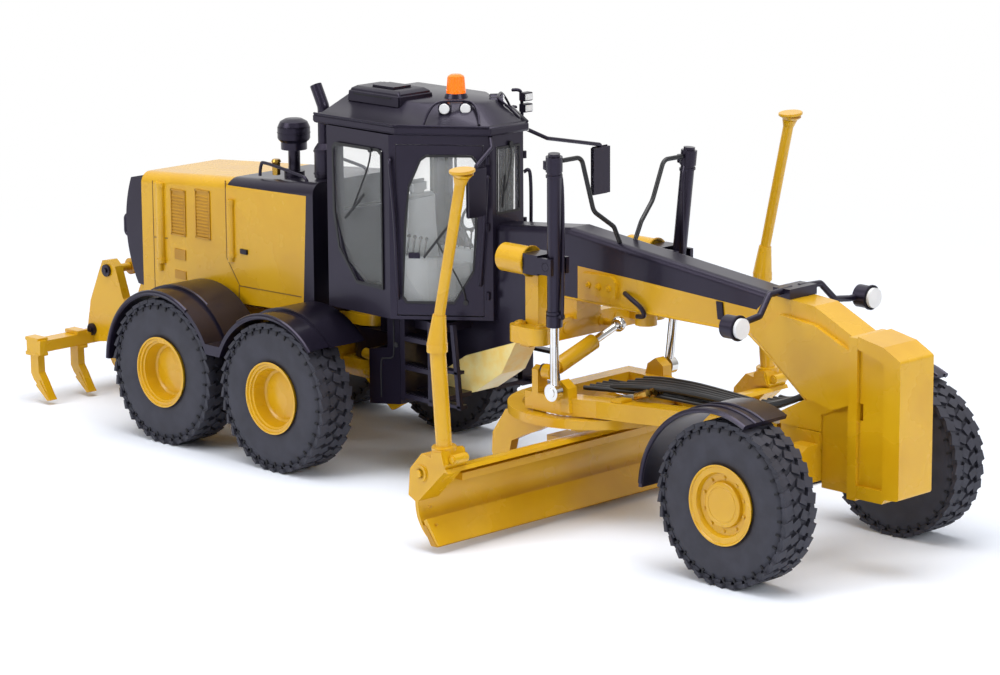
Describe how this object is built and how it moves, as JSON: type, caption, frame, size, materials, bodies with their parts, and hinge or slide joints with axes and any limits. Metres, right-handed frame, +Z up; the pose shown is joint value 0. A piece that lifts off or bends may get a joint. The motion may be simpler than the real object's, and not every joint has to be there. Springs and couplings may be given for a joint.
{
  "type": "motor grader scale model",
  "caption": "Scale model of a motor grader: articulated frame, tandem drive, leaning steered front wheels, drawbar with turning circle, side-shifting blade with masts, rear ripper.",
  "frame": {"origin": "on the ground below the middle of the model, half way between the push block's nose and the ripper's tail", "axes": "+X forward, +Y to the machine's left, +Z up"},
  "size_m": [0.2025, 0.0856, 0.0711],
  "materials": {
    "yellow_paint": "gloss",
    "black_paint": "satin",
    "tyre": "matt",
    "hose": "satin",
    "chrome": "polished",
    "glass": "clear",
    "lamp_lens": "clear",
    "amber": "gloss",
    "grey_plastic": "matt"
  },
  "bodies": {
    "rear_frame": {"rear_frame": "yellow_paint", "tandem_cases": "yellow_paint", "tandem_fenders": "black_paint", "engine_hood": "yellow_paint", "hood_front": "black_paint", "radiator_cap": "black_paint", "exhaust_and_intake": "black_paint"},
    "front_frame": {"front_frame": "black_paint", "frame_belly": "yellow_paint", "boom": "yellow_paint", "push_block": "yellow_paint", "front_axle": "yellow_paint", "cab_frame": "black_paint", "cab_doors": "black_paint", "cab_glass": "glass", "cab_roof": "black_paint", "beacon": "amber", "cab_interior": "grey_plastic", "ladders": "black_paint", "mirrors": "black_paint", "headlamps": "black_paint", "lamp_lenses": "lamp_lens", "lift_arms": "yellow_paint", "lift_yokes": "black_paint", "lift_hoses": "hose"},
    "wheel_middle_left": {"tyre_middle_left": "tyre", "rim_middle_left": "yellow_paint"},
    "wheel_middle_right": {"tyre_middle_right": "tyre", "rim_middle_right": "yellow_paint"},
    "wheel_rear_left": {"tyre_rear_left": "tyre", "rim_rear_left": "yellow_paint"},
    "wheel_rear_right": {"tyre_rear_right": "tyre", "rim_rear_right": "yellow_paint"},
    "lean_left": {"lean_bracket_left": "yellow_paint"},
    "steer_left": {"knuckle_left": "yellow_paint", "front_fender_left": "black_paint"},
    "wheel_front_left": {"tyre_front_left": "tyre", "rim_front_left": "yellow_paint"},
    "lean_right": {"lean_bracket_right": "yellow_paint"},
    "steer_right": {"knuckle_right": "yellow_paint", "front_fender_right": "black_paint"},
    "wheel_front_right": {"tyre_front_right": "tyre", "rim_front_right": "yellow_paint"},
    "tie_rod": {"tie_rod": "chrome"},
    "drawbar": {"drawbar": "yellow_paint", "drawbar_hoses": "hose"},
    "lift_cylinder_left": {"lift_cylinder_left": "black_paint"},
    "lift_rod_left": {"lift_rod_left": "chrome"},
    "lift_cylinder_right": {"lift_cylinder_right": "black_paint"},
    "lift_rod_right": {"lift_rod_right": "chrome"},
    "shift_cylinder": {"shift_cylinder": "yellow_paint"},
    "shift_rod": {"shift_rod": "chrome"},
    "circle": {"circle": "yellow_paint"},
    "blade_carrier": {"blade_carrier": "yellow_paint"},
    "blade": {"moldboard": "yellow_paint", "blade_masts": "yellow_paint"},
    "ripper": {"ripper": "yellow_paint"},
    "ripper_cylinder": {"ripper_cylinder": "yellow_paint"},
    "ripper_rod": {"ripper_rod": "yellow_paint"}
  },
  "joints": [
    {"name": "articulation", "type": "hinge", "parent": "rear_frame", "child": "front_frame", "pos_m": [-0.02465, 0, 0.0205], "axis": [0, 0, 1], "range_deg": [-20, 20]},
    {"name": "spin_middle_left", "type": "hinge", "parent": "rear_frame", "child": "wheel_middle_left", "pos_m": [-0.025, 0.0214, 0.0136], "axis": [0, 1, 0], "continuous": true},
    {"name": "spin_middle_right", "type": "hinge", "parent": "rear_frame", "child": "wheel_middle_right", "pos_m": [-0.025, -0.0214, 0.0136], "axis": [0, 1, 0], "continuous": true},
    {"name": "spin_rear_left", "type": "hinge", "parent": "rear_frame", "child": "wheel_rear_left", "pos_m": [-0.0555, 0.0214, 0.0136], "axis": [0, 1, 0], "continuous": true},
    {"name": "spin_rear_right", "type": "hinge", "parent": "rear_frame", "child": "wheel_rear_right", "pos_m": [-0.0555, -0.0214, 0.0136], "axis": [0, 1, 0], "continuous": true},
    {"name": "lean_left", "type": "hinge", "parent": "front_frame", "child": "lean_left", "pos_m": [0.08225, 0.013, 0.0152], "axis": [1, 0, 0], "range_deg": [-18, 18]},
    {"name": "steer_left", "type": "hinge", "parent": "lean_left", "child": "steer_left", "pos_m": [0.08225, 0.0158, 0.0152], "axis": [0, 0, 1], "range_deg": [-40, 40]},
    {"name": "spin_front_left", "type": "hinge", "parent": "steer_left", "child": "wheel_front_left", "pos_m": [0.08225, 0.0214, 0.0136], "axis": [0, 1, 0], "continuous": true},
    {"name": "lean_right", "type": "hinge", "parent": "front_frame", "child": "lean_right", "pos_m": [0.08225, -0.013, 0.0152], "axis": [1, 0, 0], "range_deg": [-18, 18]},
    {"name": "steer_right", "type": "hinge", "parent": "lean_right", "child": "steer_right", "pos_m": [0.08225, -0.0158, 0.0152], "axis": [0, 0, 1], "range_deg": [-40, 40]},
    {"name": "spin_front_right", "type": "hinge", "parent": "steer_right", "child": "wheel_front_right", "pos_m": [0.08225, -0.0214, 0.0136], "axis": [0, 1, 0], "continuous": true},
    {"name": "tie_rod_slide", "type": "slide", "parent": "front_frame", "child": "tie_rod", "axis": [0, 1, 0], "range_m": [-0.0036, 0.0036]},
    {"name": "drawbar_lift", "type": "hinge", "parent": "front_frame", "child": "drawbar", "pos_m": [0.07725, 0, 0.0186], "axis": [0, 1, 0], "range_deg": [-12, 5]},
    {"name": "lift_swing_left", "type": "hinge", "parent": "front_frame", "child": "lift_cylinder_left", "pos_m": [0.03636, 0.01551, 0.0418], "axis": [0, 1, 0], "range_deg": [-3, 3]},
    {"name": "lift_stroke_left", "type": "slide", "parent": "lift_cylinder_left", "child": "lift_rod_left", "axis": [0.0628, 0.0628, 0.9961], "range_m": [-0.0095, 0.0085]},
    {"name": "lift_swing_right", "type": "hinge", "parent": "front_frame", "child": "lift_cylinder_right", "pos_m": [0.03655, -0.0157, 0.0448], "axis": [0, 1, 0], "range_deg": [-3, 3]},
    {"name": "lift_stroke_right", "type": "slide", "parent": "lift_cylinder_right", "child": "lift_rod_right", "axis": [0.0628, -0.0628, 0.9961], "range_m": [-0.0095, 0.0085]},
    {"name": "shift_swing", "type": "hinge", "parent": "front_frame", "child": "shift_rod", "pos_m": [0.03175, 0.0051, 0.0308], "axis": [1, 0, 0], "range_deg": [-36, 42]},
    {"name": "shift_stroke", "type": "slide", "parent": "shift_rod", "child": "shift_cylinder", "axis": [0, -0.9503, -0.3112], "range_m": [-0.005, 0.006]},
    {"name": "circle_turn", "type": "hinge", "parent": "drawbar", "child": "circle", "pos_m": [0.03125, 0, 0.0173], "axis": [0, 0, 1], "range_deg": [-35, 35]},
    {"name": "blade_tip", "type": "hinge", "parent": "circle", "child": "blade_carrier", "pos_m": [0.02975, 0, 0.0036], "axis": [0, 1, 0], "range_deg": [-12, 22]},
    {"name": "blade_side_shift", "type": "slide", "parent": "blade_carrier", "child": "blade", "axis": [0, 1, 0], "range_m": [-0.012, 0.012]},
    {"name": "ripper_lift", "type": "hinge", "parent": "rear_frame", "child": "ripper", "pos_m": [-0.08525, 0, 0.014], "axis": [0, 1, 0], "range_deg": [-12, 30]},
    {"name": "ripper_swing", "type": "hinge", "parent": "rear_frame", "child": "ripper_cylinder", "pos_m": [-0.07325, 0, 0.019], "axis": [0, 1, 0], "range_deg": [-20, 30]},
    {"name": "ripper_stroke", "type": "slide", "parent": "ripper_cylinder", "child": "ripper_rod", "axis": [-0.9562, 0, 0.2927], "range_m": [-0.008, 0.004]}
  ],
  "couplings": [
    {"joint": "lean_right", "follows": "lean_left", "ratio": 1},
    {"joint": "steer_right", "follows": "steer_left", "ratio": 1},
    {"joint": "tie_rod_slide", "follows": "steer_left", "m_per_rad": -0.004},
    {"joint": "lift_swing_left", "follows": "drawbar_lift", "ratio": 0.0641},
    {"joint": "lift_stroke_left", "follows": "drawbar_lift", "m_per_rad": 0.0422},
    {"joint": "lift_swing_right", "follows": "drawbar_lift", "ratio": 0.0554},
    {"joint": "lift_stroke_right", "follows": "drawbar_lift", "m_per_rad": 0.0422},
    {"joint": "shift_swing", "follows": "drawbar_lift", "ratio": -2.1234},
    {"joint": "shift_stroke", "follows": "drawbar_lift", "m_per_rad": -0.019216},
    {"joint": "ripper_swing", "follows": "ripper_lift", "ratio": 0.5116},
    {"joint": "ripper_stroke", "follows": "ripper_lift", "m_per_rad": -0.008294}
  ]
}
